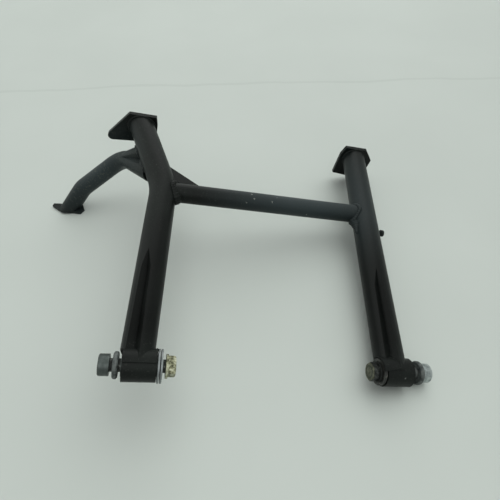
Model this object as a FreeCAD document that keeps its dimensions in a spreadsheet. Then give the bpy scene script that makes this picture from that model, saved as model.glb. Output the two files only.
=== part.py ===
import FreeCAD, Part
import math
import os
import Sketcher

# Motorcycle centre stand, lying on the floor as it comes to rest off the machine.
#
# Every piece is modelled in the stand's own frame, in millimetres: the origin is on the pivot
# axis halfway between the two pivot tubes, X runs along that axis from the kick lever's side to
# the spring's side, Y runs from the pivots to the feet and Z is the side that faces up here.
# One resting placement, worked out at the end from the three places that touch the floor, then
# lays the whole stand down.

V = FreeCAD.Vector
X_AXIS = V(1, 0, 0)
Y_AXIS = V(0, 1, 0)
Z_AXIS = V(0, 0, 1)

doc = FreeCAD.newDocument("CentreStand")
sheet = doc.addObject("Spreadsheet::Sheet", "Sizes")

SIZES = {
    # legs: bent round tube, crimped towards the pivot
    "leg_diameter": 32.0,
    "leg_wall": 2.0,
    "leg_length": 328.5,
    "left_leg_pivot_x": -133.0,
    "left_leg_knee_x": -121.3,
    "left_knee_from_foot": 106.5,
    "left_leg_foot_x": -156.5,
    "leg_bend_radius": 90.0,
    "right_leg_pivot_x": 126.0,
    "right_leg_foot_x": 153.8,
    "leg_lip_reach": 2.6,
    "leg_lip_step": 0.3,
    "left_lip_outboard": 12.0,
    "left_lip_inboard": 18.0,
    "left_lip_slant": 0.0,
    "right_lip_outboard": 6.5,
    "right_lip_inboard": 16.0,
    "right_lip_slant": 7.0,
    "weld_gap": 0.1,
    # crimp: a pointed V pressed into the side that faces up
    "crimp_start": 122.0,
    "crimp_nose": 24.0,
    "crimp_nose_depth": 5.0,
    "crimp_depth": 7.5,
    "crimp_half_angle": 50.0,
    "crimp_turn": 18.0,
    # cross tube
    "cross_diameter": 23.6,
    "cross_wall": 2.0,
    "cross_from_foot": 112.7,
    # pivot tubes
    "pivot_spacing": 259.2,
    "pivot_tube_length": 30.6,
    "pivot_tube_diameter": 29.2,
    # pivot hardware
    "bush_diameter": 20.0,
    "bush_overhang": 0.75,
    "running_clearance": 0.05,
    "bolt_diameter": 12.0,
    "bolt_clearance": 0.3,
    "bolt_end_length": 8.0,
    "hex_width": 17.0,
    "hex_height": 7.0,
    "flange_diameter": 22.0,
    "flange_thickness": 2.1,
    "left_washer_diameter": 31.0,
    "right_washer_diameter": 27.0,
    "washer_thickness": 1.6,
    "washer_clearance": 0.5,
    "seal_diameter": 24.4,
    "seal_thickness": 4.6,
    "seal_bevel": 1.2,
    "collar_diameter": 19.6,
    "collar_length": 9.5,
    "collar_bevel": 0.9,
    "left_slack_inboard": 8.1,
    "right_slack_inboard": 4.6,
    "left_seal_gap": 3.2,
    "right_seal_gap": 8.8,
    "left_collar_gap": 3.0,
    "right_collar_gap": 0.9,
    "left_washer_gap": 1.0,
    "right_washer_gap": 0.2,
    # foot plates
    "plate_thickness": 5.0,
    "plate_top": 17.0,
    "plate_corner": 6.0,
    "plate_inner_top_reach": 18.4,
    "plate_inner_shoulder": 3.0,
    "plate_inner_low_reach": 19.6,
    "left_plate_top_reach": 16.5,
    "left_plate_reach": 44.5,
    "left_plate_flare_drop": 21.0,
    "left_plate_drop": 30.6,
    "left_plate_inner_reach": 20.3,
    "left_plate_inner_drop": 24.4,
    "right_plate_top_reach": 14.0,
    "right_plate_reach": 29.2,
    "right_plate_flare_drop": -0.5,
    "right_plate_drop": 37.8,
    "right_plate_inner_reach": 21.8,
    "right_plate_inner_drop": 33.0,
    # kick lever: bent tube with a flared and crimped root on the left leg
    "lever_diameter": 24.5,
    "lever_wall": 2.0,
    "lever_bend_radius": 42.0,
    "lever_root_along_leg": 45.7,
    "lever_root_half_width": 27.7,
    "lever_flare_length": 45.0,
    "lever_web_sink": 0.15,
    "lever_crimp_lead": 6.0,
    "lever_crimp_depth": 9.0,
    "lever_bend_out": 46.7,
    "lever_bend_forward": 46.4,
    "lever_bend_drop": 49.6,
    "lever_elbow_out": 98.7,
    "lever_elbow_forward": 33.0,
    "lever_elbow_drop": 103.1,
    "pad_out": 118.6,
    "pad_forward": 22.1,
    "pad_drop": 140.0,
    "pad_thickness": 3.0,
    "pad_turn": -12.6,
    "pad_nose_reach": 26.0,
    "pad_nose_front": 0.4,
    "pad_nose_back": 4.8,
    "pad_toe_reach": 9.5,
    "pad_front_width": 9.4,
    "pad_heel_reach": 21.4,
    "pad_tip_reach": 24.1,
    "pad_tip_front": 1.0,
    "pad_back_width": 12.5,
    "pad_back_start": 3.0,
    "pad_back_end": 15.0,
    # gusset between left leg and cross tube
    "gusset_thickness": 4.0,
    "gusset_top": -2.0,
    "gusset_from_foot": 66.5,
    "gusset_tube_x": -75.0,
    "gusset_notch_radius": 8.0,
    # spring peg on the right leg
    "peg_from_foot": 141.5,
    "peg_neck_diameter": 6.0,
    "peg_neck_length": 4.0,
    "peg_head_diameter": 8.6,
    "peg_head_length": 3.6,
}
for row, (name, value) in enumerate(SIZES.items(), start=1):
    sheet.set(f"A{row}", name)
    sheet.set(f"B{row}", str(value))
    sheet.setAlias(f"B{row}", name)
doc.recompute()


def size(name):
    """The number that the sheet holds under this name."""
    return float(sheet.get(name))


parts = {}


def keep(label, feature, where=None):
    """Register a finished piece with its place in the stand's own frame."""
    feature.Label = label
    parts[label] = (feature, where or FreeCAD.Placement())
    return feature


def shaped(label, shape):
    """A piece whose shape is computed from the sheet's sizes."""
    feature = doc.addObject("Part::Feature", label)
    feature.Shape = shape
    return keep(label, feature)


# Legs: round tube, bent on the left side only. Each is pressed into a V on the side that faces
# up, from a pointed tip down to the pivot. Its end is coped over the pivot tube, and its lip laps
# a little way round the tube's upper side.


def tube_solid(points, bend_radius, radius):
    """A solid round bar along straight runs joined by tangent arcs."""
    edges = []
    start = points[0]
    for corner, following in zip(points[1:-1], points[2:]):
        into = (corner - start).normalize()
        out = (following - corner).normalize()
        turn = into.getAngle(out)
        trim = bend_radius * math.tan(turn / 2)
        first = corner - into * trim
        last = corner + out * trim
        toward = (out - into).normalize()
        middle = corner + toward * (bend_radius / math.cos(turn / 2) - bend_radius)
        edges.append(Part.LineSegment(start, first).toShape())
        edges.append(Part.Arc(first, middle, last).toShape())
        start = last
    edges.append(Part.LineSegment(start, points[-1]).toShape())
    path = Part.Wire(edges)
    profile = Part.Wire(Part.makeCircle(radius, points[0], points[1] - points[0]))
    return path.makePipeShell([profile], True, True)


def crimp_cutter(tip, forward, face, side, surface, stations, drop):
    """The V that is pressed into a tube: from a point at its tip, as deep as each station says."""
    spread = math.tan(math.radians(size("crimp_half_angle")))
    brim = 2.0 * surface
    sections = []
    for along, sunk in [(0.0, -0.3), *stations]:
        bottom = surface - sunk - drop
        centre = tip + forward * along
        half = (brim - bottom) * spread
        corners = [
            centre + face * bottom,
            centre + face * brim + side * half,
            centre + face * brim - side * half,
        ]
        sections.append(Part.makePolygon(corners + corners[:1]))
    return Part.makeLoft(sections, True, True)


LEG_RADIUS = size("leg_diameter") / 2
PIVOT_RADIUS = size("pivot_tube_diameter") / 2
PLATE_Y = size("leg_length")
CROSS_Y = PLATE_Y - size("cross_from_foot")
PEG_Y = PLATE_Y - size("peg_from_foot")


def leg_bar(points, reduction):
    """The leg's round bar, and the V pressed into it, each smaller by the wall inside."""
    pivot = points[0]
    run = (points[1] - pivot).normalize()
    turned = FreeCAD.Rotation(run, -size("crimp_turn"))
    face = turned.multVec(X_AXIS.cross(run).normalize())
    side = run.cross(face).normalize()
    start = pivot - run * (size("leg_lip_reach") + 2)
    bar = tube_solid([start] + points[1:], size("leg_bend_radius"), LEG_RADIUS - reduction)
    stations = [
        (size("crimp_nose"), size("crimp_nose_depth")),
        (size("crimp_start") + size("leg_lip_reach") + 4, size("crimp_depth")),
    ]
    dent = crimp_cutter(
        pivot + run * size("crimp_start"),
        run * -1,
        face,
        side,
        LEG_RADIUS,
        stations,
        reduction / math.sin(math.radians(size("crimp_half_angle"))),
    )
    return bar, dent


def leg(side, points, outward):
    """A crimped leg tube, coped over its pivot tube and cut square at its foot plate."""
    outside, dent = leg_bar(points, 0.0)
    inside, inner_dent = leg_bar(points, size("leg_wall"))
    wall = outside.cut(dent).cut(inside.cut(inner_dent))
    outboard = size(f"{side}_lip_outboard")
    lip = Part.makeCylinder(
        LEG_RADIUS - size("leg_lip_step"),
        outboard + size(f"{side}_lip_inboard"),
        points[0] + X_AXIS * (outward * outboard),
        X_AXIS * -outward,
    )
    upper = Part.makeBox(200, 100, 100, V(-100, -size("leg_lip_reach"), 0))
    slant = FreeCAD.Rotation(Z_AXIS, size(f"{side}_lip_slant"))
    upper.Placement = FreeCAD.Placement(points[0], slant)
    behind = Part.makeBox(200, 100, 200, V(points[0].x - 100, -100 - size("leg_lip_reach"), -100))
    wall = wall.cut(behind).fuse(lip.common(upper))
    pivot = Part.makeCylinder(
        PIVOT_RADIUS + size("weld_gap"), 200, V(points[0].x - 100, 0, 0), X_AXIS
    )
    tube_end = outward * (size("pivot_spacing") - size("pivot_tube_length")) / 2
    washers = Part.makeCylinder(
        size(f"{side}_washer_diameter") / 2 + size("washer_clearance"),
        50,
        V(tube_end, 0, 0),
        X_AXIS * -outward,
    )
    beyond = Part.makeBox(400, 100, 200, V(points[-1].x - 200, PLATE_Y, -100))
    coped = wall.cut(pivot).cut(washers).cut(beyond).removeSplitter()
    # A sliver thinner than a hair can come loose beside the crimp, and only the tube is kept.
    return outside, max(coped.Solids, key=lambda solid: solid.Volume)


def past_plate(a, b):
    """A point a little beyond the foot plate on the line from a to b."""
    return b + (b - a).normalize() * 20


left_knee = V(size("left_leg_knee_x"), PLATE_Y - size("left_knee_from_foot"), 0)
left_foot = V(size("left_leg_foot_x"), PLATE_Y, 0)
left_points = [V(size("left_leg_pivot_x"), 0, 0), left_knee, past_plate(left_knee, left_foot)]
left_outside, left_wall = leg("left", left_points, -1)
shaped("left_leg", left_wall)

right_pivot = V(size("right_leg_pivot_x"), 0, 0)
right_foot = V(size("right_leg_foot_x"), PLATE_Y, 0)
right_points = [right_pivot, past_plate(right_pivot, right_foot)]
right_outside, right_wall = leg("right", right_points, 1)
shaped("right_leg", right_wall)

# Cross tube: a thinner straight tube, coped at both ends against the legs.


def cylinder(name, radius, height, where=None):
    """A cylinder along its own Z, with both sizes bound to the sheet."""
    feature = doc.addObject("Part::Cylinder", name)
    feature.setExpression("Radius", radius)
    feature.setExpression("Height", height)
    feature.Placement = where or FreeCAD.Placement()
    return feature


def boolean(kind, name, base, tool):
    """A Part boolean of two features."""
    feature = doc.addObject(f"Part::{kind}", name)
    feature.Base = base
    feature.Tool = tool
    return feature


def hollow(name, outer_radius, inner_radius, length):
    """A straight tube along its own Z."""
    outer = cylinder(f"{name}_outside", outer_radius, length)
    inner = cylinder(f"{name}_bore", inner_radius, f"{length} + 2")
    inner.Placement = FreeCAD.Placement(V(0, 0, -1), FreeCAD.Rotation())
    return boolean("Cut", name, outer, inner)


ALONG_X = FreeCAD.Rotation(Y_AXIS, 90)
cross_blank = hollow(
    "cross_blank",
    "Sizes.cross_diameter / 2",
    "Sizes.cross_diameter / 2 - Sizes.cross_wall",
    "Sizes.right_leg_foot_x - Sizes.left_leg_knee_x - 10",
)
cross_blank.Placement = FreeCAD.Placement(
    V(size("left_leg_knee_x"), CROSS_Y, 0), ALONG_X
)
left_cope = doc.addObject("Part::Feature", "left_leg_outside")
left_cope.Shape = left_outside
right_cope = doc.addObject("Part::Feature", "right_leg_outside")
right_cope.Shape = right_outside
cross_left = boolean("Cut", "cross_left", cross_blank, left_cope)
cross_tube = boolean("Cut", "cross_both", cross_left, right_cope)
keep("cross_tube", cross_tube)

# Pivots: on each side a short tube welded across the end of the leg, and in it a loose bush on a
# flanged bolt, with washers inboard, then a seal ring and a plain collar on the outboard end.


def sleeve(name, outer, inner, length, bevel=None):
    """A ring or sleeve along its own Z from z = 0, with its far outer rim bevelled."""
    ring = hollow(name, outer, inner, length)
    if bevel is None:
        return ring
    doc.recompute()
    height = ring.Shape.BoundBox.ZMax
    reach = ring.Shape.BoundBox.XMax
    rims = []
    for number, edge in enumerate(ring.Shape.Edges, start=1):
        box = edge.BoundBox
        round_rim = box.ZLength < 1e-6 and abs(box.XMax - reach) < 1e-6
        if round_rim and (bevel[1] or abs(box.ZMax - height) < 1e-6):
            rims.append((number, size(bevel[0]), size(bevel[0])))
    chamfer = doc.addObject("Part::Chamfer", f"{name}_bevelled")
    chamfer.Base = ring
    chamfer.Edges = rims
    return chamfer


def bolt(name, length):
    """A hex flange bolt: its clamping face is at z = 0 and its shank runs along +Z."""
    shank = cylinder(f"{name}_shank", "Sizes.bolt_diameter / 2", length)
    flange = cylinder(f"{name}_flange", "Sizes.flange_diameter / 2", "Sizes.flange_thickness")
    flange.setExpression("Placement.Base.z", "-Sizes.flange_thickness")
    head = doc.addObject("Part::Prism", f"{name}_hex")
    head.Polygon = 6
    head.setExpression("Circumradius", "Sizes.hex_width / 2 / cos(30)")
    head.setExpression("Height", "Sizes.hex_height")
    head.setExpression("Placement.Base.z", "-Sizes.flange_thickness - Sizes.hex_height")
    dome = doc.addObject("Part::Cone", f"{name}_bevel")
    dome.setExpression("Radius1", "Sizes.hex_width / 2 - 0.3")
    dome.setExpression("Radius2", "Sizes.hex_width / 2 + Sizes.hex_height * 1.6")
    dome.setExpression("Height", "Sizes.hex_height")
    dome.setExpression("Placement.Base.z", "-Sizes.flange_thickness - Sizes.hex_height")
    bevelled = boolean("Common", f"{name}_head", head, dome)
    body = boolean("Fuse", f"{name}_head_and_flange", bevelled, flange)
    return boolean("Fuse", name, body, shank)


SHANK_HOLE = "Sizes.bolt_diameter / 2 + Sizes.bolt_clearance"
half_spacing = size("pivot_spacing") / 2
half_tube = size("pivot_tube_length") / 2


def collar_place(side):
    """Where a collar starts, measured outwards from its pivot tube's middle."""
    beyond_tube = size(f"{side}_seal_gap") + size("seal_thickness") + size(f"{side}_collar_gap")
    return half_tube + beyond_tube


def pivot_side(side, outward):
    """One pivot tube, welded to its leg, and the loose bolt, bush and rings that turn in it."""
    centre = V(outward * half_spacing, 0, 0)
    turn = FreeCAD.Rotation(Y_AXIS, 90 * outward)

    def along(distance):
        """A place on the pivot axis, measured outwards from the tube's middle."""
        return FreeCAD.Placement(centre + X_AXIS * (outward * distance), turn)

    tube = sleeve(
        f"{side}_pivot_tube",
        "Sizes.pivot_tube_diameter / 2",
        "Sizes.bush_diameter / 2 + Sizes.running_clearance",
        "Sizes.pivot_tube_length",
    )
    keep(f"{side}_pivot_tube", tube, along(-half_tube))
    bush = sleeve(
        f"{side}_pivot_bush",
        "Sizes.bush_diameter / 2",
        SHANK_HOLE,
        "Sizes.pivot_tube_length + 2 * Sizes.bush_overhang",
    )
    bush_end = half_tube + size("bush_overhang")
    keep(f"{side}_pivot_bush", bush, along(-bush_end))
    face = -half_tube - size(f"{side}_slack_inboard")
    shank = (
        f"Sizes.{side}_slack_inboard + Sizes.pivot_tube_length + Sizes.{side}_seal_gap"
        f" + Sizes.seal_thickness + Sizes.{side}_collar_gap + Sizes.bolt_end_length"
    )
    keep(f"{side}_pivot_bolt", bolt(f"{side}_pivot_bolt", shank), along(face))
    level = -bush_end
    for place in ("inner", "outer"):
        washer = sleeve(
            f"{side}_{place}_washer",
            f"Sizes.{side}_washer_diameter / 2",
            SHANK_HOLE,
            "Sizes.washer_thickness",
        )
        level -= size("washer_thickness")
        keep(f"{side}_{place}_washer", washer, along(level))
        level -= size(f"{side}_washer_gap")
    seal = sleeve(
        f"{side}_seal_ring",
        "Sizes.seal_diameter / 2",
        SHANK_HOLE,
        "Sizes.seal_thickness",
        ("seal_bevel", True),
    )
    keep(f"{side}_seal_ring", seal, along(half_tube + size(f"{side}_seal_gap")))
    collar = sleeve(
        f"{side}_collar",
        "Sizes.collar_diameter / 2",
        "Sizes.bolt_diameter / 2",
        "Sizes.collar_length",
        ("collar_bevel", False),
    )
    keep(f"{side}_collar", collar, along(collar_place(side)))


pivot_side("left", -1)
pivot_side("right", 1)

# Flat pieces: the foot plates and the gusset are cut from plate.


def plate(name, points, thickness, corner=None, rounded=()):
    """A flat piece: an outline of sheet sizes in the body's XY plane, padded along +Z."""
    body = doc.addObject("PartDesign::Body", name)
    sketch = body.newObject("Sketcher::SketchObject", f"{name}_outline")
    plane = next(f for f in body.Origin.OriginFeatures if f.Role == "XY_Plane")
    sketch.AttachmentSupport = (plane, [""])
    sketch.MapMode = "FlatFace"
    count = len(points)
    values = [(evaluate(px), evaluate(py)) for px, py in points]
    for number in range(count):
        first = V(*values[number], 0)
        second = V(*values[(number + 1) % count], 0)
        sketch.addGeometry(Part.LineSegment(first, second), False)
    for number in range(count):
        sketch.addConstraint(
            Sketcher.Constraint("Coincident", number, 2, (number + 1) % count, 1)
        )
    for number, texts in enumerate(points):
        for kind, text, value in zip(("DistanceX", "DistanceY"), texts, values[number]):
            index = sketch.addConstraint(Sketcher.Constraint(kind, -1, 1, number, 1, value))
            sketch.setExpression(f"Constraints[{index}]", text)
    pad = body.newObject("PartDesign::Pad", f"{name}_pad")
    pad.Profile = sketch
    pad.setExpression("Length", thickness)
    doc.recompute()
    if corner:
        edges = []
        for number, edge in enumerate(pad.Shape.Edges, start=1):
            middle = edge.CenterOfMass
            upright = edge.BoundBox.ZLength > 0.9 * pad.Shape.BoundBox.ZLength
            near = any(
                math.hypot(middle.x - values[i][0], middle.y - values[i][1]) < 1e-3
                for i in rounded
            )
            if upright and near:
                edges.append(f"Edge{number}")
        fillet = body.newObject("PartDesign::Fillet", f"{name}_corners")
        fillet.Base = (pad, edges)
        fillet.setExpression("Radius", corner)
        body.Tip = fillet
    doc.recompute()
    return body


def evaluate(text):
    """The value of an expression of sheet sizes."""
    return float(sheet.evalExpression(text.replace("Sizes.", "")))


# Each foot plate stands square across the end of its leg: its outline is drawn with X along the
# pivot axis away from the leg's centre, outboard, and Y up to the side that faces up here.
def foot_plate(side, outward):
    reach = f"Sizes.{side}_plate_reach"
    outline = [
        (f"{-outward} * Sizes.plate_inner_top_reach", "Sizes.plate_top"),
        (f"{outward} * Sizes.{side}_plate_top_reach", "Sizes.plate_top"),
        (f"{outward} * {reach}", f"-Sizes.{side}_plate_flare_drop"),
        (f"{outward} * {reach}", f"-Sizes.{side}_plate_drop"),
        (f"{-outward} * Sizes.plate_inner_low_reach", f"-Sizes.{side}_plate_inner_drop"),
        (f"{-outward} * Sizes.{side}_plate_inner_reach", "Sizes.plate_inner_shoulder"),
    ]
    body = plate(
        f"{side}_foot_plate",
        outline,
        "Sizes.plate_thickness",
        "Sizes.plate_corner",
        (2, 3),
    )
    facing = FreeCAD.Rotation(X_AXIS, 90)
    where = V(size(f"{side}_leg_foot_x"), PLATE_Y + size("plate_thickness"), 0)
    keep(f"{side}_foot_plate", body, FreeCAD.Placement(where, facing))


foot_plate("left", -1)
foot_plate("right", 1)

# Triangular gusset in the corner of the left leg and the cross tube, with a hole left at the
# corner so that the weld between the tubes passes under it.
GUSSET_END = "Sizes.leg_length - Sizes.gusset_from_foot"
ON_CROSS = "Sizes.leg_length - Sizes.cross_from_foot"
gusset = plate(
    "gusset_blank",
    [
        ("Sizes.left_leg_knee_x - Sizes.leg_diameter / 2", GUSSET_END),
        ("Sizes.left_leg_knee_x + 4", GUSSET_END),
        ("Sizes.gusset_tube_x", f"{ON_CROSS} + Sizes.cross_diameter / 2 + 4"),
        ("Sizes.gusset_tube_x", ON_CROSS),
        ("Sizes.left_leg_knee_x", ON_CROSS),
    ],
    "Sizes.gusset_thickness",
)
gusset_under = size("gusset_top") - size("gusset_thickness")
gusset.Placement = FreeCAD.Placement(V(0, 0, gusset_under), FreeCAD.Rotation())
notch_corner = V(
    size("left_leg_knee_x") + LEG_RADIUS - 2,
    CROSS_Y + size("cross_diameter") / 2 + 1,
    -size("leg_diameter"),
)
notch = cylinder(
    "gusset_notch",
    "Sizes.gusset_notch_radius",
    "2 * Sizes.leg_diameter",
    FreeCAD.Placement(notch_corner, FreeCAD.Rotation()),
)
cross_cope = cylinder(
    "cross_outside",
    "Sizes.cross_diameter / 2",
    "Sizes.right_leg_foot_x - Sizes.left_leg_knee_x",
    FreeCAD.Placement(V(size("left_leg_knee_x"), CROSS_Y, 0), ALONG_X),
)
gusset_tools = doc.addObject("Part::MultiFuse", "gusset_tools")
gusset_tools.Shapes = [left_cope, cross_cope, notch]
keep("cross_gusset", boolean("Cut", "gusset_trimmed", gusset, gusset_tools))

# Spring peg: a headed pin welded to the outboard side of the right leg.
peg_neck = cylinder(
    "peg_neck",
    "Sizes.peg_neck_diameter / 2",
    "Sizes.leg_diameter / 2 + Sizes.peg_neck_length",
)
peg_head = cylinder("peg_head", "Sizes.peg_head_diameter / 2", "Sizes.peg_head_length")
peg_head.setExpression("Placement.Base.z", "Sizes.leg_diameter / 2 + Sizes.peg_neck_length")
peg_whole = boolean("Fuse", "peg_whole", peg_neck, peg_head)
peg_x = right_pivot.x + (right_foot.x - right_pivot.x) * PEG_Y / PLATE_Y
peg_whole.Placement = FreeCAD.Placement(V(peg_x, PEG_Y, 0), ALONG_X)
keep("spring_peg", boolean("Cut", "peg_trimmed", peg_whole, right_cope))

# Where the stand rests: the lowest rim at the right pivot, the right foot plate's outboard bottom
# corner and the lever's pad carry it, and the direction called up is square to those three.


def lowest_rim(x, radius, up):
    """The lowest point of a circle about the pivot axis."""
    down = (up - X_AXIS * up.dot(X_AXIS)) * -1
    return V(x, 0, 0) + down.normalize() * radius


collar_x = half_spacing + collar_place("right") + size("collar_length")
seal_x = half_spacing + half_tube + size("right_seal_gap") + size("seal_thickness")
corner = size("plate_corner")
plate_corner_centre = V(
    size("right_leg_foot_x") + size("right_plate_reach") - corner,
    PLATE_Y,
    corner - size("right_plate_drop"),
)
leg_run = (left_foot - left_knee).normalize()
root = left_knee + leg_run * size("lever_root_along_leg")
pad_under = root + V(-size("pad_out"), size("pad_forward"), -size("pad_drop"))
up = V(-0.23, 0.1, 0.97).normalize()
for _ in range(30):
    rims = [
        lowest_rim(collar_x - size("collar_bevel"), size("collar_diameter") / 2, up),
        lowest_rim(seal_x - size("seal_bevel"), size("seal_diameter") / 2, up),
        lowest_rim(half_spacing + half_tube, PIVOT_RADIUS, up),
    ]
    pivot_touch = min(rims, key=lambda point: point.dot(up))
    edge_down = (up - Y_AXIS * up.dot(Y_AXIS)) * -1
    plate_touch = plate_corner_centre + edge_down.normalize() * corner
    up = (plate_touch - pad_under).cross(pivot_touch - pad_under).normalize()
    if up.z < 0:
        up = up * -1
side = (X_AXIS - up * up.x).normalize()
front = up.cross(side)
lay_down = FreeCAD.Placement(
    FreeCAD.Matrix(
        side.x, side.y, side.z, 0,
        front.x, front.y, front.z, 0,
        up.x, up.y, up.z, 0,
        0, 0, 0, 1,
    )
)

# Kick lever: a bent tube whose root is flared and pressed into a V where it meets the left leg,
# and a flat pad under its lower end, which lies flush on the floor.

LEVER_RADIUS = size("lever_diameter") / 2
bend = root + V(
    -size("lever_bend_out"), size("lever_bend_forward"), -size("lever_bend_drop")
)
elbow = root + V(
    -size("lever_elbow_out"), size("lever_elbow_forward"), -size("lever_elbow_drop")
)
root_run = (root - bend).normalize()
root_side = (leg_run - root_run * leg_run.dot(root_run)).normalize()
root_face = root_run.cross(root_side).normalize()
flare_start = root - root_run * (size("lever_flare_length") + LEG_RADIUS)


def lever_bar(reduction):
    """The lever's outline, and the V pressed into its root, each smaller by the wall inside."""
    past_pad = pad_under + (pad_under - elbow).normalize() * 20
    radius = LEVER_RADIUS - reduction
    bar = tube_solid([flare_start, bend, elbow, past_pad], size("lever_bend_radius"), radius)
    spread = root_side * (size("lever_root_half_width") - LEVER_RADIUS)
    ends = [root + spread, root - spread]
    half_web = root_face * (radius - size("lever_web_sink"))
    web = Part.Face(Part.makePolygon([flare_start, *ends, flare_start]))
    web.translate(half_web * -1)
    flare = [web.extrude(half_web * 2)]
    for end in ends:
        run = end - flare_start
        flare.append(Part.makeCylinder(radius, run.Length, flare_start, run))
    length = size("lever_crimp_lead") + size("lever_flare_length") + LEG_RADIUS + 4
    cutter = crimp_cutter(
        flare_start - root_run * size("lever_crimp_lead"),
        root_run,
        root_face,
        root_side,
        LEVER_RADIUS,
        [(length / 2, size("lever_crimp_depth") / 2), (length, size("lever_crimp_depth"))],
        reduction / math.sin(math.radians(size("crimp_half_angle"))),
    )
    return bar.fuse(flare), cutter


lever_outside, lever_dent = lever_bar(0.0)
lever_inside, lever_inner_dent = lever_bar(size("lever_wall"))
lever = lever_outside.cut(lever_dent).cut(lever_inside.cut(lever_inner_dent))
pad_place = FreeCAD.Placement(pad_under, lay_down.Rotation.inverted())
below = Part.makeBox(400, 400, 200, V(-200, -200, size("pad_thickness") - 200))
below.Placement = pad_place
trimmed = lever.cut(left_outside).cut(below).removeSplitter()
# What the flare leaves on the far side of the leg is trimmed off with it.
shaped("kick_lever", max(trimmed.Solids, key=lambda solid: solid.Volume))

# The pad's outline is drawn about the lever's axis: a narrow nose points outboard, and the wider
# part carries the tube.
pad_body = plate(
    "lever_pad",
    [
        ("-Sizes.pad_nose_reach", "-Sizes.pad_nose_front"),
        ("-Sizes.pad_toe_reach", "-Sizes.pad_front_width"),
        ("Sizes.pad_heel_reach", "-Sizes.pad_front_width"),
        ("Sizes.pad_tip_reach", "-Sizes.pad_tip_front"),
        ("Sizes.pad_back_end", "Sizes.pad_back_width"),
        ("-Sizes.pad_back_start", "Sizes.pad_back_width"),
        ("-Sizes.pad_toe_reach", "Sizes.pad_back_width / 2"),
        ("-Sizes.pad_nose_reach", "Sizes.pad_nose_back"),
    ],
    "Sizes.pad_thickness",
)
turned_pad = pad_place.multiply(
    FreeCAD.Placement(V(), FreeCAD.Rotation(Z_AXIS, size("pad_turn")))
)
keep("lever_pad", pad_body, turned_pad)

# The resting placement puts the box's bottom centre at the origin.

doc.recompute()
laid = []
for feature, where in parts.values():
    shape = feature.Shape.copy()
    shape.Placement = lay_down.multiply(where).multiply(shape.Placement)
    laid.append(shape)
box = Part.makeCompound(laid).optimalBoundingBox(False, False)
rest = FreeCAD.Placement(
    V(-(box.XMin + box.XMax) / 2, -(box.YMin + box.YMax) / 2, -box.ZMin),
    FreeCAD.Rotation(),
).multiply(lay_down)
for feature, where in parts.values():
    feature.Placement = rest.multiply(where).multiply(feature.Placement)
doc.recompute()

for item in doc.Objects:
    if "Invalid" in item.State or "Error" in item.State:
        raise RuntimeError(f"{item.Name} failed: {item.State}")
os.makedirs("parts", exist_ok=True)
for label, (feature, where) in parts.items():
    shape = feature.Shape
    if shape.isNull() or not shape.isValid() or len(shape.Solids) != 1:
        raise RuntimeError(f"{label} is not one valid solid")
    shape.exportStep(f"parts/{label}.step")

axis = rest.Rotation.multVec(X_AXIS)
middle = rest.multVec(V())
print("pivot axis", [round(value, 5) for value in axis])
print("through", [round(value, 3) for value in middle])
print("up in the stand's frame", [round(value, 4) for value in up])
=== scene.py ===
import math

import bmesh
import bpy
from mathutils import Matrix, Vector
from mathutils.bvhtree import BVHTree


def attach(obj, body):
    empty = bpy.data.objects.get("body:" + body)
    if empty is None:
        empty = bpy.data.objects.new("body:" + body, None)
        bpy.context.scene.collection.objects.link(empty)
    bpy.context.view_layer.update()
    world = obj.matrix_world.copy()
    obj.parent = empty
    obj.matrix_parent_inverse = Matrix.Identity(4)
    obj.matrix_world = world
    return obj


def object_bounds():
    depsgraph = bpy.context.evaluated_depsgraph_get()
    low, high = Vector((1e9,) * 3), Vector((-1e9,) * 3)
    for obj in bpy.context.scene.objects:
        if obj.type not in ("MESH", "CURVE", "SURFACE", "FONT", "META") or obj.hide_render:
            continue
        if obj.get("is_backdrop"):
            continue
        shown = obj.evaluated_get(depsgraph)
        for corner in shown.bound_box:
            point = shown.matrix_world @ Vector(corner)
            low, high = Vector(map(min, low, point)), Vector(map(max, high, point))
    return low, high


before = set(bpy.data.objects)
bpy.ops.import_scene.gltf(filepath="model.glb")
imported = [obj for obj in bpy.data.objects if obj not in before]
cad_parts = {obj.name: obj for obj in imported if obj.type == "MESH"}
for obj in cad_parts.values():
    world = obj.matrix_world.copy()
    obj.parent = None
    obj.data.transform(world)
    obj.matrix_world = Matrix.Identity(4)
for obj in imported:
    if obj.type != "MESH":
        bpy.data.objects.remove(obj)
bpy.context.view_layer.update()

# Legs: two round steel tubes of 32 mm, the left one bent, each pressed into a long V towards its
# pivot. The whole stand is welded together first, and is then sprayed with black enamel.

# How the stand lies. Its own axes are X along the pivots towards the spring's side, Y from the
# pivots to the feet, and Z to the side that faces up. Places on it are given along them.
LYING = Matrix(
    (
        (0.971413, 0.021872, 0.236386, 0.05722),
        (0.0, 0.995747, -0.092132, -0.160004),
        (-0.237395, 0.089498, 0.967281, 0.049347),
        (0.0, 0.0, 0.0, 1.0),
    )
)
UPRIGHT = LYING.inverted()


def hex_colour(text):
    """An sRGB hex colour turned linear, as the shader sockets want it."""
    values = [int(text[i : i + 2], 16) / 255 for i in (1, 3, 5)]
    linear = [v / 12.92 if v <= 0.04045 else ((v + 0.055) / 1.055) ** 2.4 for v in values]
    return (*linear, 1.0)


def add(tree, kind, links=(), constants=(), stops=(), **settings):
    """Add a node with its settings, its numbered sockets' constants, colour stops and links."""
    made = tree.nodes.new(kind)
    for name, value in settings.items():
        if hasattr(made, name):
            setattr(made, name, value)
        else:
            made.inputs[name.replace("_", " ")].default_value = value
    for socket, value in constants:
        made.inputs[socket].default_value = value
    for number, (position, text) in enumerate(stops):
        elements = made.color_ramp.elements
        element = elements[number] if number < 2 else elements.new(position)
        element.position = position
        element.color = hex_colour(text)
    for socket, source in links:
        output = source.outputs[0] if hasattr(source, "outputs") else source
        tree.links.new(output, made.inputs[socket])
    return made


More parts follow.
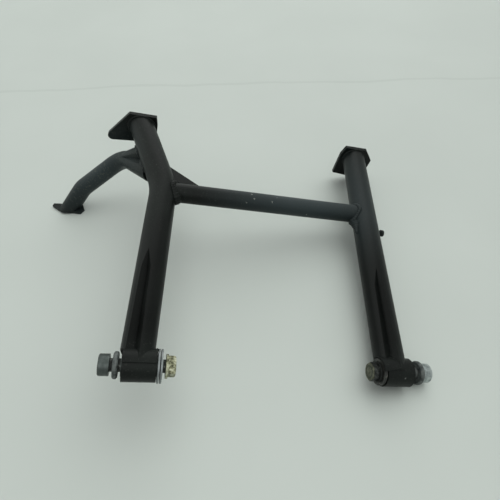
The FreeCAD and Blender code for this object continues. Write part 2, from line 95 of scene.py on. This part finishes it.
def new_material(name, **settings):
    """A material with its Principled shader, and a place on the stand's own axes in metres."""
    material = bpy.data.materials.new(name)
    material.use_nodes = True
    tree = material.node_tree
    tree.nodes.clear()
    shader = add(tree, "ShaderNodeBsdfPrincipled", **settings)
    add(tree, "ShaderNodeOutputMaterial", [("Surface", shader)])
    coordinates = add(tree, "ShaderNodeTexCoord")
    place = add(
        tree,
        "ShaderNodeMapping",
        [("Vector", coordinates.outputs["Object"])],
        Location=UPRIGHT.translation,
        Rotation=UPRIGHT.to_euler(),
    )
    return material, tree, shader, place


def metres(*millimetres):
    """Millimetres turned to the metres of the scene."""
    return tuple(value / 1000 for value in millimetres)


# Sprayed black enamel: a thin semi-gloss coat over pale primer. To the eye it is nearly black with
# a fine orange peel, specked grey with dust, lightened across the cross tube as a painted bluish
# reflection, scuffed grey on the lever, darker as painted shade where the legs are pressed, grazed
# on the lever, and chipped to the primer in a few small places.
PATCH = 45.0  # mm across a patch where the coat is thicker or thinner
SPECK = 1.6  # mm across a speck of dust, which is finer and is drawn so that it shows
PEEL = 2.2  # mm across a ripple of orange peel, which is under 1 mm and is drawn so that it shows
GRAZE = 3.0  # mm across a graze on the lever
RAGGED = 2.0  # mm between the breaks in a chip's ragged edge
STRAY = 3.5  # mm from the innermost to the outermost of those breaks
# The cross tube's patch is a painted bluish reflection; the lever's is scuffing, where its grazes
# lie too.
SHEEN_AND_SCUFFS = (  # middle and reach in mm: the cross tube's and the lever's
    ((55, 230, 0), 140),
    ((-215, 275, -65), 105),
)
FULL_SHEEN_AND_SCUFF = 0.2  # of its reach
# Painted shade in the pressed V: full out to the first of these, none beyond the second.
PRESSED_SHADE_SETS_IN = (120, 200)  # mm from the pivots, full and none
# The pivot tubes' ends get less of that painted shade than the legs.
PIVOT_TUBE_ENDS = (12, 30)  # mm from the pivots, where the tube has less oil than the leg
CHIPS = (  # middle and radius in mm: six along the cross tube, one on the right pivot tube
    ((-13.8, 217.3, 11.7), 1.2),
    ((-10.7, 211.2, 10.9), 1.0),
    ((-20.4, 206.7, 7.5), 1.0),
    ((12.2, 210.1, 10.3), 1.1),
    ((18.9, 216.6, 11.8), 0.9),
    ((60.6, 204.1, 1.0), 1.0),
    ((132.9, -10.0, 10.7), 0.6),
)
black_enamel, tree, shader, place = new_material(
    "sprayed_black_enamel", IOR=1.46, Specular_IOR_Level=0.19
)
patches = add(
    tree,
    "ShaderNodeTexNoise",
    [("Vector", place)],
    Scale=1000 / PATCH,
    Detail=5.0,
    Roughness=0.6,
)
colour = add(
    tree,
    "ShaderNodeValToRGB",
    [("Fac", patches)],
    stops=[(0.3, "#090C0A"), (0.55, "#101412"), (0.7, "#161B18")],
)
# Painted reflection on the cross tube and scuffing on the lever, both mixed towards a bluish grey.
for middle, reach in SHEEN_AND_SCUFFS:
    away = add(
        tree,
        "ShaderNodeVectorMath",
        [(0, place)],
        [(1, metres(*middle))],
        operation="DISTANCE",
    )
    sheen_and_scuff = add(
        tree,
        "ShaderNodeMapRange",
        [("Value", away.outputs["Value"])],
        From_Min=reach / 1000 * FULL_SHEEN_AND_SCUFF,
        From_Max=reach / 1000,
        To_Min=0.95,
        To_Max=0.0,
    )
    colour = add(
        tree,
        "ShaderNodeMixRGB",
        [("Fac", sheen_and_scuff), ("Color1", colour)],
        Color2=hex_colour("#374042"),
    )
speck = add(tree, "ShaderNodeTexNoise", [("Vector", place)], Scale=1000 / SPECK, Detail=3.0)
dust = add(
    tree,
    "ShaderNodeMapRange",
    [("Value", speck)],
    From_Min=0.6,
    From_Max=0.8,
    To_Min=0.0,
    To_Max=0.45,
)
colour = add(
    tree,
    "ShaderNodeMixRGB",
    [("Fac", dust), ("Color1", colour)],
    Color2=hex_colour("#50544F"),
)
axes = add(tree, "ShaderNodeSeparateXYZ", [("Vector", place)])
# Painted shade: the legs are darker where they are pressed into a V, less so on the pivot tubes.
pressed = add(
    tree,
    "ShaderNodeMapRange",
    [("Value", axes.outputs["Y"])],
    From_Min=PRESSED_SHADE_SETS_IN[0] / 1000,
    From_Max=PRESSED_SHADE_SETS_IN[1] / 1000,
    To_Min=0.75,
    To_Max=0.0,
)
past_tube = add(
    tree,
    "ShaderNodeMapRange",
    [("Value", axes.outputs["Y"])],
    From_Min=PIVOT_TUBE_ENDS[0] / 1000,
    From_Max=PIVOT_TUBE_ENDS[1] / 1000,
)
painted_shade = add(tree, "ShaderNodeMath", [(0, pressed), (1, past_tube)], operation="MULTIPLY")
colour = add(
    tree,
    "ShaderNodeMixRGB",
    [("Fac", painted_shade), ("Color1", colour)],
    Color2=hex_colour("#030504"),
)
graze = add(
    tree,
    "ShaderNodeTexNoise",
    [("Vector", place)],
    Scale=1000 / GRAZE,
    Detail=4.0,
    Roughness=0.7,
)
grazes = add(tree, "ShaderNodeMapRange", [("Value", graze)], From_Min=0.56, From_Max=0.64)
on_lever = add(tree, "ShaderNodeMath", [(0, grazes), (1, sheen_and_scuff)], operation="MULTIPLY")
colour = add(
    tree,
    "ShaderNodeMixRGB",
    [("Fac", on_lever), ("Color1", colour)],
    Color2=hex_colour("#525751"),
)
ragged = add(tree, "ShaderNodeTexNoise", [("Vector", place)], Scale=1000 / RAGGED, Detail=2.0)
shift = add(
    tree,
    "ShaderNodeVectorMath",
    [(0, ragged.outputs["Color"])],
    [(1, metres(STRAY, STRAY, STRAY)), (2, metres(-STRAY / 2, -STRAY / 2, -STRAY / 2))],
    operation="MULTIPLY_ADD",
)
chip_place = add(tree, "ShaderNodeVectorMath", [(0, place), (1, shift)], operation="ADD")
chipped = None
for middle, radius in CHIPS:
    away = add(
        tree,
        "ShaderNodeVectorMath",
        [(0, chip_place)],
        [(1, metres(*middle))],
        operation="DISTANCE",
    )
    chip = add(
        tree,
        "ShaderNodeMath",
        [(0, away.outputs["Value"])],
        [(1, radius / 1000)],
        operation="LESS_THAN",
    )
    if chipped:
        chip = add(tree, "ShaderNodeMath", [(0, chipped), (1, chip)], operation="MAXIMUM")
    chipped = chip
colour = add(
    tree,
    "ShaderNodeMixRGB",
    [("Fac", chipped), ("Color1", colour)],
    Color2=hex_colour("#767A76"),
)
tree.links.new(colour.outputs[0], shader.inputs["Base Color"])
dull = add(
    tree,
    "ShaderNodeMapRange",
    [("Value", patches)],
    From_Min=0.3,
    From_Max=0.7,
    To_Min=0.34,
    To_Max=0.48,
)
tree.links.new(dull.outputs[0], shader.inputs["Roughness"])
peel = add(tree, "ShaderNodeTexNoise", [("Vector", place)], Scale=1000 / PEEL, Detail=2.0)
peel_bump = add(tree, "ShaderNodeBump", [("Height", peel)], Strength=0.12, Distance=0.0003)
tree.links.new(peel_bump.outputs[0], shader.inputs["Normal"])


def finish(material, *nodes):
    """Give CAD nodes their finish."""
    for name in nodes:
        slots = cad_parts[name].data.materials
        slots.clear()
        slots.append(material)


finish(black_enamel, "left_leg", "right_leg")

# Pivot tubes: short thick steel tubes across the legs' ends, which are cut to fit round them. They
# are welded at the back and sides, where the pressed V leaves room for the torch.
PIVOT_BEAD = 3.4  # mm wide
OPEN_SIDE = 6.0  # mm up from the pivots' middle, above which the V is in the torch's way
finish(black_enamel, "left_pivot_tube", "right_pivot_tube")


def merged(node):
    """A CAD node's mesh with its loose triangles joined."""
    mesh = bmesh.new()
    mesh.from_mesh(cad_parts[node].data)
    bmesh.ops.remove_doubles(mesh, verts=mesh.verts, dist=0.00002)
    mesh.verts.ensure_lookup_table()
    mesh.edges.ensure_lookup_table()
    return mesh


def seam(node, other, below=1000.0):
    """The longest run of a node's sharp edges that lies on another node, below a height in mm."""
    touching_gap = 0.0005  # m
    sharp = math.radians(20)
    mesh = merged(node)
    partner = BVHTree.FromBMesh(merged(other))
    touching = {}
    for vert in mesh.verts:
        gap = partner.find_nearest(vert.co)[3]
        low = (UPRIGHT @ vert.co).z * 1000 < below
        touching[vert.index] = gap is not None and gap < touching_gap and low
    free = {
        edge.index: edge
        for edge in mesh.edges
        if len(edge.link_faces) == 2
        and touching[edge.verts[0].index]
        and touching[edge.verts[1].index]
        and edge.calc_face_angle(0.0) > sharp
    }
    longest, longest_length = [], 0.0
    while free:
        edge = free.pop(min(free))
        run = [edge.verts[0], edge.verts[1]]
        for forward in (True, False):
            while True:
                tip = run[-1] if forward else run[0]
                onward = sorted(e.index for e in tip.link_edges if e.index in free)
                if not onward:
                    break
                following = free.pop(onward[0]).other_vert(tip)
                if forward:
                    run.append(following)
                else:
                    run.insert(0, following)
        length = sum((a.co - b.co).length for a, b in zip(run, run[1:]))
        if length > longest_length:
            longest, longest_length = [v.co.copy() for v in run], length
    return longest


def weld_bead(name, run, width, closed=True, heavy=None, relief=1.1):
    """A painted bead of weld metal, its width and relief in mm, along a run of places."""
    pitch = 0.0007  # m between its rings
    smoothings = 6
    heavy_reach = 7.0  # mm round the heavy place, where the torch was held
    heavy_growth = 1.7
    ripple, ripple_turn = 0.11, 2.4  # share of the width, and radians to the mm
    unevenness, uneven_turn = 0.12, 0.31
    tip, tip_growth = 0.35, 0.2  # share of the width at an open end, and more at each ring
    if closed and (run[0] - run[-1]).length > 1e-6:
        run = [*run, run[0]]
    places = []
    walked = 0.0
    due = 0.0
    for a, b in zip(run, run[1:]):
        step = (b - a).length
        while step > 0 and due <= walked + step:
            places.append(a.lerp(b, (due - walked) / step))
            due += pitch
        walked += step
    if closed and (places[-1] - places[0]).length < pitch / 2:
        places.pop()
    count = len(places)
    for _ in range(smoothings):
        places = [
            places[i]
            if not closed and i in (0, count - 1)
            else (places[i - 1] + 2 * places[i] + places[(i + 1) % count]) / 4
            for i in range(count)
        ]
    bpy.ops.object.select_all(action="DESELECT")
    curve = bpy.data.curves.new(name, "CURVE")
    curve.dimensions = "3D"
    curve.bevel_depth = width / 2000
    curve.bevel_resolution = 2
    curve.use_fill_caps = not closed
    spline = curve.splines.new("POLY")
    spline.points.add(count - 1)
    spline.use_cyclic_u = closed
    for number, (point, spot) in enumerate(zip(spline.points, places)):
        point.co = (*spot, 1.0)
        travel = number * pitch * 1000
        swell = 1 + ripple * math.sin(travel * ripple_turn)
        swell += unevenness * math.sin(travel * uneven_turn + width)
        if heavy:
            away = (spot - heavy).length * 1000
            swell += heavy_growth * math.exp(-((away / heavy_reach) ** 2))
        tapered = min(1.0, tip + tip_growth * min(number, count - 1 - number))
        point.radius = swell * (1.0 if closed else tapered)
    piece = bpy.data.objects.new(name, curve)
    bpy.context.scene.collection.objects.link(piece)
    piece.select_set(True)
    bpy.context.view_layer.objects.active = piece
    bpy.ops.object.convert(target="MESH")
    piece = bpy.context.object
    bpy.ops.object.mode_set(mode="EDIT")
    bpy.ops.mesh.select_all(action="SELECT")
    bpy.ops.mesh.remove_doubles(threshold=0.00001)
    bpy.ops.mesh.normals_make_consistent(inside=False)
    bpy.ops.object.mode_set(mode="OBJECT")
    lumps = bpy.data.textures.new(name, "CLOUDS")
    lumps.noise_scale = 0.003
    uneven = piece.modifiers.new("lumps", "DISPLACE")
    uneven.texture = lumps
    uneven.strength = relief / 1000
    bpy.ops.object.modifier_apply(modifier="lumps")
    bpy.ops.object.shade_smooth()
    piece.data.materials.append(black_enamel)
    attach(piece, "stand")


for side in ("left", "right"):
    run = seam(f"{side}_leg", f"{side}_pivot_tube", below=OPEN_SIDE)
    weld_bead(f"{side}_pivot_weld", run, PIVOT_BEAD, closed=False)

# Cross tube: a 23.6 mm steel tube between the legs, its ends cut to fit them. The welds are
# heaviest underneath, where the torch stopped, and one runs on down the right leg.
LEFT_BEAD, RIGHT_BEAD, TAIL_BEAD = 6.4, 5.0, 5.5  # mm wide
TAIL = ((122, 199, 4), (122, 194, 4), (122, 189, 4), (122, 184, 4), (122, 179, 4))  # mm
finish(black_enamel, "cross_tube")


def at(x, y, z):
    """A place on the stand, turned from millimetres on its own axes to metres in the scene."""
    return LYING @ Vector(metres(x, y, z))


for side, width, heavy in (
    ("left", LEFT_BEAD, at(-104, 204, 4)),
    ("right", RIGHT_BEAD, at(125, 203, -3)),
):
    run = seam("cross_tube", f"{side}_leg")
    weld_bead(f"cross_tube_{side}_weld", run, width, heavy=heavy)
leg_face = BVHTree.FromBMesh(merged("right_leg"))
tail = [leg_face.find_nearest(at(*spot))[0] for spot in TAIL]
weld_bead("cross_tube_weld_tail", tail, TAIL_BEAD, closed=False, heavy=tail[0])

# Cross gusset: a flat steel plate that ties the left leg to the cross tube. It is welded along
# both edges, and its corner is left open as a hole over the tubes' own weld.
GUSSET_BEAD = 3.0  # mm wide
finish(black_enamel, "cross_gusset")
for part in ("left_leg", "cross_tube"):
    weld_bead(f"gusset_{part}_weld", seam("cross_gusset", part), GUSSET_BEAD)

# Foot plates: flat steel plates that close the legs' lower ends and stand on the ground. They are
# welded all round the tubes.
FOOT_BEAD = 4.0  # mm wide
finish(black_enamel, "left_foot_plate", "right_foot_plate")
for side in ("left", "right"):
    weld_bead(f"{side}_foot_weld", seam(f"{side}_leg", f"{side}_foot_plate"), FOOT_BEAD)

# Spring peg: a small turned steel peg with a head, which holds the return spring. It is welded on
# the right leg.
PEG_BEAD, PEG_RELIEF = 2.2, 0.4  # mm
finish(black_enamel, "spring_peg")
weld_bead("spring_peg_weld", seam("spring_peg", "right_leg"), PEG_BEAD, relief=PEG_RELIEF)

# Kick lever: a steel tube that is split and spread at its root, pressed between the spread parts,
# and bent down to a flat pad for the rider's foot. It is welded all round to the left leg.
LEVER_BEAD, PAD_BEAD = 4.2, 3.4  # mm wide
finish(black_enamel, "kick_lever", "lever_pad")
weld_bead("kick_lever_weld", seam("kick_lever", "left_leg"), LEVER_BEAD)
weld_bead("lever_pad_weld", seam("kick_lever", "lever_pad"), PAD_BEAD)

# Bolts: flanged M12 steel bolts, forged and then plated, that hold the stand to the motorcycle.
# Each goes through its pivot from the inner side, with its head between the two legs.

# Yellow-passivated zinc: a thin pale yellow-green plating with the gloss of satin, blotched with
# dirt. The right bolt behind its end face and the left bolt's shank are dark grey, partly with oil
# and partly as painted shade, and the right bolt's neck is a paler grey as a painted highlight.
ZINC_STAIN = 4.0  # mm across a blotch
HEAD_RING, RING_WIDTH = 5.8, 1.8  # mm, the radius and width of the dark ring in the head's dish
zinc, tree, shader, place = new_material("yellow_passivated_zinc", Metallic=0.85)
stain = add(
    tree,
    "ShaderNodeTexNoise",
    [("Vector", place)],
    Scale=1000 / ZINC_STAIN,
    Detail=6.0,
    Roughness=0.7,
)
plating = add(
    tree,
    "ShaderNodeValToRGB",
    [("Fac", stain)],
    stops=[(0.36, "#34342A"), (0.48, "#8A8A70"), (0.62, "#C6C6B0")],
)
axes = add(tree, "ShaderNodeSeparateXYZ", [("Vector", place)])
disc = add(tree, "ShaderNodeCombineXYZ", [("Y", axes.outputs["Y"]), ("Z", axes.outputs["Z"])])
radius = add(tree, "ShaderNodeVectorMath", [(0, disc)], operation="LENGTH")
ring = add(
    tree,
    "ShaderNodeMath",
    [(0, radius.outputs["Value"])],
    [(1, HEAD_RING / 1000), (2, RING_WIDTH / 2000)],
    operation="COMPARE",
)
marked = add(
    tree,
    "ShaderNodeMixRGB",
    [("Fac", ring), ("Color1", plating)],
    Color2=hex_colour("#3A3C30"),
)
masks = []
for first, last, before, after in (  # mm along the pivots, and the share on either side
    (0.0, 20.0, 0.0, 0.75),  # the right bolt, browned
    (-106.8, -106.4, 1.0, 0.0),  # the left bolt's shank
    (101.2, 101.8, 0.0, 1.0),  # the right bolt behind its end face
    (145.0, 146.0, 0.0, 0.7),  # the right bolt's neck
):
    masks.append(
        add(
            tree,
            "ShaderNodeMapRange",
            [("Value", axes.outputs["X"])],
            From_Min=first / 1000,
            From_Max=last / 1000,
            To_Min=before,
            To_Max=after,
        )
    )
right_bolt_darkening, left_shank, right_shank, right_neck = masks
# The right bolt is darker all over than the left.
darker_right_bolt = add(
    tree,
    "ShaderNodeMixRGB",
    [("Fac", right_bolt_darkening), ("Color1", marked)],
    Color2=hex_colour("#3E4038"),
)
# Oil and painted shade: a dark grey for the right bolt behind its end face and for the left shank.
painted_shade = add(
    tree,
    "ShaderNodeValToRGB",
    [("Fac", stain)],
    stops=[(0.4, "#262827"), (0.55, "#3B3D3B"), (0.66, "#6F716E")],
)
# Painted highlight: the right bolt's neck, past the pivot tube, is lightened to a pale grey.
neck_highlight = add(
    tree,
    "ShaderNodeMixRGB",
    [("Fac", right_neck), ("Color1", painted_shade)],
    Color2=hex_colour("#8E9290"),
)
oiled_and_shaded = add(
    tree, "ShaderNodeMath", [(0, left_shank), (1, right_shank)], operation="MAXIMUM"
)
colour = add(
    tree, "ShaderNodeMixRGB", [("Fac", oiled_and_shaded), ("Color1", darker_right_bolt), ("Color2", neck_highlight)]
)
tree.links.new(colour.outputs[0], shader.inputs["Base Color"])
gloss = add(
    tree,
    "ShaderNodeMapRange",
    [("Value", stain)],
    From_Min=0.3,
    From_Max=0.7,
    To_Min=0.55,
    To_Max=0.32,
)
tree.links.new(gloss.outputs[0], shader.inputs["Roughness"])
finish(zinc, "left_pivot_bolt", "right_pivot_bolt")

# Bushes and collars: short steel sleeves, turned on a lathe. The bushes fit in the pivot tubes and
# turn there with the bolts, and the collars sit on the bolts' outer ends.

# Turned mild steel: bare metal with a soft sheen and handling stains. The left pivot's is greyed
# by dirt, and the right one's is rubbed bright.
STEEL_STAIN = 5.0  # mm across a stain
MIDDLE = 10.0  # mm either side of the stand's middle, between the greyed and the bright pivot
steel, tree, shader, place = new_material("turned_mild_steel", Metallic=1.0)
stain = add(
    tree, "ShaderNodeTexNoise", [("Vector", place)], Scale=1000 / STEEL_STAIN, Detail=5.0
)
turned = add(
    tree,
    "ShaderNodeValToRGB",
    [("Fac", stain)],
    stops=[(0.34, "#7E8485"), (0.5, "#A2A9A9"), (0.66, "#BFC5C5")],
)
axes = add(tree, "ShaderNodeSeparateXYZ", [("Vector", place)])
greyed = add(
    tree,
    "ShaderNodeMapRange",
    [("Value", axes.outputs["X"])],
    From_Min=-MIDDLE / 1000,
    From_Max=MIDDLE / 1000,
    To_Min=0.9,
    To_Max=0.0,
)
colour = add(
    tree,
    "ShaderNodeMixRGB",
    [("Fac", greyed), ("Color1", turned)],
    Color2=hex_colour("#3F4442"),
)
tree.links.new(colour.outputs[0], shader.inputs["Base Color"])
gloss = add(
    tree,
    "ShaderNodeMapRange",
    [("Value", stain)],
    From_Min=0.3,
    From_Max=0.7,
    To_Min=0.5,
    To_Max=0.28,
)
tree.links.new(gloss.outputs[0], shader.inputs["Roughness"])
for side in ("left", "right"):
    finish(steel, f"{side}_pivot_bush", f"{side}_collar")

# Washers: flat steel discs, punched from sheet. Two lie on each bolt, between its flange and the
# end of the bush.

# Oiled pressed steel: dark and satin on the faces, where oil holds grit, and bright metal at the
# rim of the larger, left ones, where it is rubbed.
GRIME = 4.0  # mm across a patch of grime
RIM = (14.9, 15.3)  # mm from the bolt's middle, dark and bright
oiled_steel, tree, shader, place = new_material("oiled_pressed_steel", Roughness=0.42)
axes = add(tree, "ShaderNodeSeparateXYZ", [("Vector", place)])
disc = add(tree, "ShaderNodeCombineXYZ", [("Y", axes.outputs["Y"]), ("Z", axes.outputs["Z"])])
radius = add(tree, "ShaderNodeVectorMath", [(0, disc)], operation="LENGTH")
rim = add(
    tree,
    "ShaderNodeMapRange",
    [("Value", radius.outputs["Value"])],
    From_Min=RIM[0] / 1000,
    From_Max=RIM[1] / 1000,
)
grime = add(tree, "ShaderNodeTexNoise", [("Vector", place)], Scale=1000 / GRIME, Detail=5.0)
film = add(
    tree,
    "ShaderNodeValToRGB",
    [("Fac", grime)],
    stops=[(0.35, "#1C1D1B"), (0.58, "#2E2F2C"), (0.72, "#6B6A64")],
)
colour = add(
    tree,
    "ShaderNodeMixRGB",
    [("Fac", rim), ("Color1", film)],
    Color2=hex_colour("#85898A"),
)
tree.links.new(colour.outputs[0], shader.inputs["Base Color"])
tree.links.new(rim.outputs[0], shader.inputs["Metallic"])
for side in ("left", "right"):
    finish(oiled_steel, f"{side}_inner_washer", f"{side}_outer_washer")

# Seal rings: moulded rubber rings, pushed on the bolts beyond the pivot tubes to keep grit out of
# the bushes.

# Moulded rubber: matt and nearly black when new, greyed here by dust and lightened to a bluish
# grey as a painted sheen.
DUST = 4.0  # mm across a patch of dust
rubber, tree, shader, place = new_material("moulded_seal_rubber", Roughness=0.6)
dust = add(tree, "ShaderNodeTexNoise", [("Vector", place)], Scale=1000 / DUST, Detail=4.0)
# Dust and painted sheen: random patches of grey, lighter than the rubber's own near-black.
dust_and_sheen = add(
    tree,
    "ShaderNodeValToRGB",
    [("Fac", dust)],
    stops=[(0.35, "#303535"), (0.7, "#6C7270")],
)
tree.links.new(dust_and_sheen.outputs[0], shader.inputs["Base Color"])
finish(rubber, "left_seal_ring", "right_seal_ring")

# Floor: a large sheet of paper under the stand, rolled out flat, with a soft crease behind the
# stand where it was once folded.
FLOOR_SIZE = 6.0  # m

# Pale matt paper: even, slightly green and without gloss; the crease is a thin darker line of
# painted shade.
MOTTLE = 250.0  # mm across a paler or darker place
WANDER = 150.0  # mm from one bend of the crease to the next
BEND = 0.03  # m that the crease wanders
CREASE = (0.499, 0.004)  # m behind the stand's middle, and half its width
ACROSS = (0.041, 0.999, 0.0)  # the direction across the crease
bpy.ops.object.select_all(action="DESELECT")
bpy.ops.mesh.primitive_plane_add(size=FLOOR_SIZE, location=(0, 0, 0))
floor = bpy.context.object
floor.name = "floor"
paper, tree, shader, place = new_material("pale_matt_paper", Roughness=0.8)
mottle = add(tree, "ShaderNodeTexNoise", [("Vector", place)], Scale=1000 / MOTTLE, Detail=3.0)
pale = add(
    tree,
    "ShaderNodeValToRGB",
    [("Fac", mottle)],
    stops=[(0.35, "#C8CFCA"), (0.65, "#CBD2CD")],
)
coordinates = add(tree, "ShaderNodeTexCoord")
across = add(
    tree,
    "ShaderNodeVectorMath",
    [(0, coordinates.outputs["Object"])],
    [(1, ACROSS)],
    operation="DOT_PRODUCT",
)
wander = add(tree, "ShaderNodeTexNoise", [("Vector", place)], Scale=1000 / WANDER, Detail=2.0)
wavy = add(
    tree,
    "ShaderNodeMath",
    [(0, wander), (2, across.outputs["Value"])],
    [(1, BEND)],
    operation="MULTIPLY_ADD",
)
# Painted shade: a thin darker line where the paper is creased.
crease_shade = add(
    tree, "ShaderNodeMath", [(0, wavy)], [(1, CREASE[0]), (2, CREASE[1])], operation="COMPARE"
)
faint = add(tree, "ShaderNodeMath", [(0, crease_shade)], [(1, 0.14)], operation="MULTIPLY")
colour = add(
    tree,
    "ShaderNodeMixRGB",
    [("Fac", faint), ("Color1", pale)],
    Color2=hex_colour("#9AA39D"),
)
tree.links.new(colour.outputs[0], shader.inputs["Base Color"])
floor.data.materials.append(paper)
floor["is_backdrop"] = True

# Lights: three faint soft panels behind, beside and before the stand, which keep its edges and
# pressed sides readable. Most of the light is the room's.
for name, place, size, power in (  # m, m and W
    ("back_panel", (0.3, 1.8, 1.1), 1.5, 5.5),
    ("side_panel", (-1.3, 0.3, 1.2), 1.3, 2.0),
    ("front_panel", (0.1, -1.2, 1.5), 1.2, 3.0),
):
    panel = bpy.data.lights.new(name, "AREA")
    panel.shape = "SQUARE"
    panel.size = size
    panel.energy = power
    lamp = bpy.data.objects.new(name, panel)
    lamp.location = place
    lamp.rotation_euler = (-lamp.location).to_track_quat("-Z", "Y").to_euler()
    bpy.context.scene.collection.objects.link(lamp)

# Room: a bright ceiling, strongest to the right and behind, lights the stand and casts its soft
# shadow. What the camera and the glossy finishes see is a pale wall that is brighter overhead.
CEILING_SIDE = (0.35, 0.35, 0.87)
WALL_SIDE = (-0.4, 0.1, 0.91)
room = bpy.data.worlds.new("room")
room.use_nodes = True
tree = room.node_tree
sky = add(tree, "ShaderNodeTexCoord")
strengths = []
for side, first, low, high in ((CEILING_SIDE, 0.66, 0.2, 2.3), (WALL_SIDE, 0.3, 0.74, 1.6)):
    towards = add(
        tree,
        "ShaderNodeVectorMath",
        [(0, sky.outputs["Generated"])],
        [(1, side)],
        operation="DOT_PRODUCT",
    )
    strengths.append(
        add(
            tree,
            "ShaderNodeMapRange",
            [("Value", towards.outputs["Value"])],
            From_Min=first,
            From_Max=1.0,
            To_Min=low,
            To_Max=high,
        )
    )
ceiling = tree.nodes["Background"]
ceiling.inputs["Color"].default_value = hex_colour("#FCFFFC")
tree.links.new(strengths[0].outputs[0], ceiling.inputs["Strength"])
wall = add(
    tree, "ShaderNodeBackground", [("Strength", strengths[1])], Color=hex_colour("#DDE3DF")
)
seen_by = add(tree, "ShaderNodeLightPath")
shown = seen_by.outputs["Is Camera Ray"]
for kind in ("Is Glossy Ray", "Is Transmission Ray"):
    shown = add(
        tree, "ShaderNodeMath", [(0, shown), (1, seen_by.outputs[kind])], operation="MAXIMUM"
    )
both = add(tree, "ShaderNodeMixShader", [(0, shown), (1, ceiling), (2, wall)])
tree.links.new(both.outputs[0], tree.nodes["World Output"].inputs["Surface"])
bpy.context.scene.world = room

# Camera: stands over the pivots' side and looks down at the stand, as the photograph does.
lens = bpy.data.cameras.new("camera")
lens.lens = 29.941
lens.sensor_width = 36.0
camera = bpy.data.objects.new("camera", lens)
camera.location = (0.02151, -0.32994, 0.43578)
camera.rotation_euler = [math.radians(degrees) for degrees in (40.0208, 0.4678, -4.4949)]
bpy.context.scene.collection.objects.link(camera)
bpy.context.scene.camera = camera
bpy.context.scene.view_settings.view_transform = "Standard"

low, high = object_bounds()
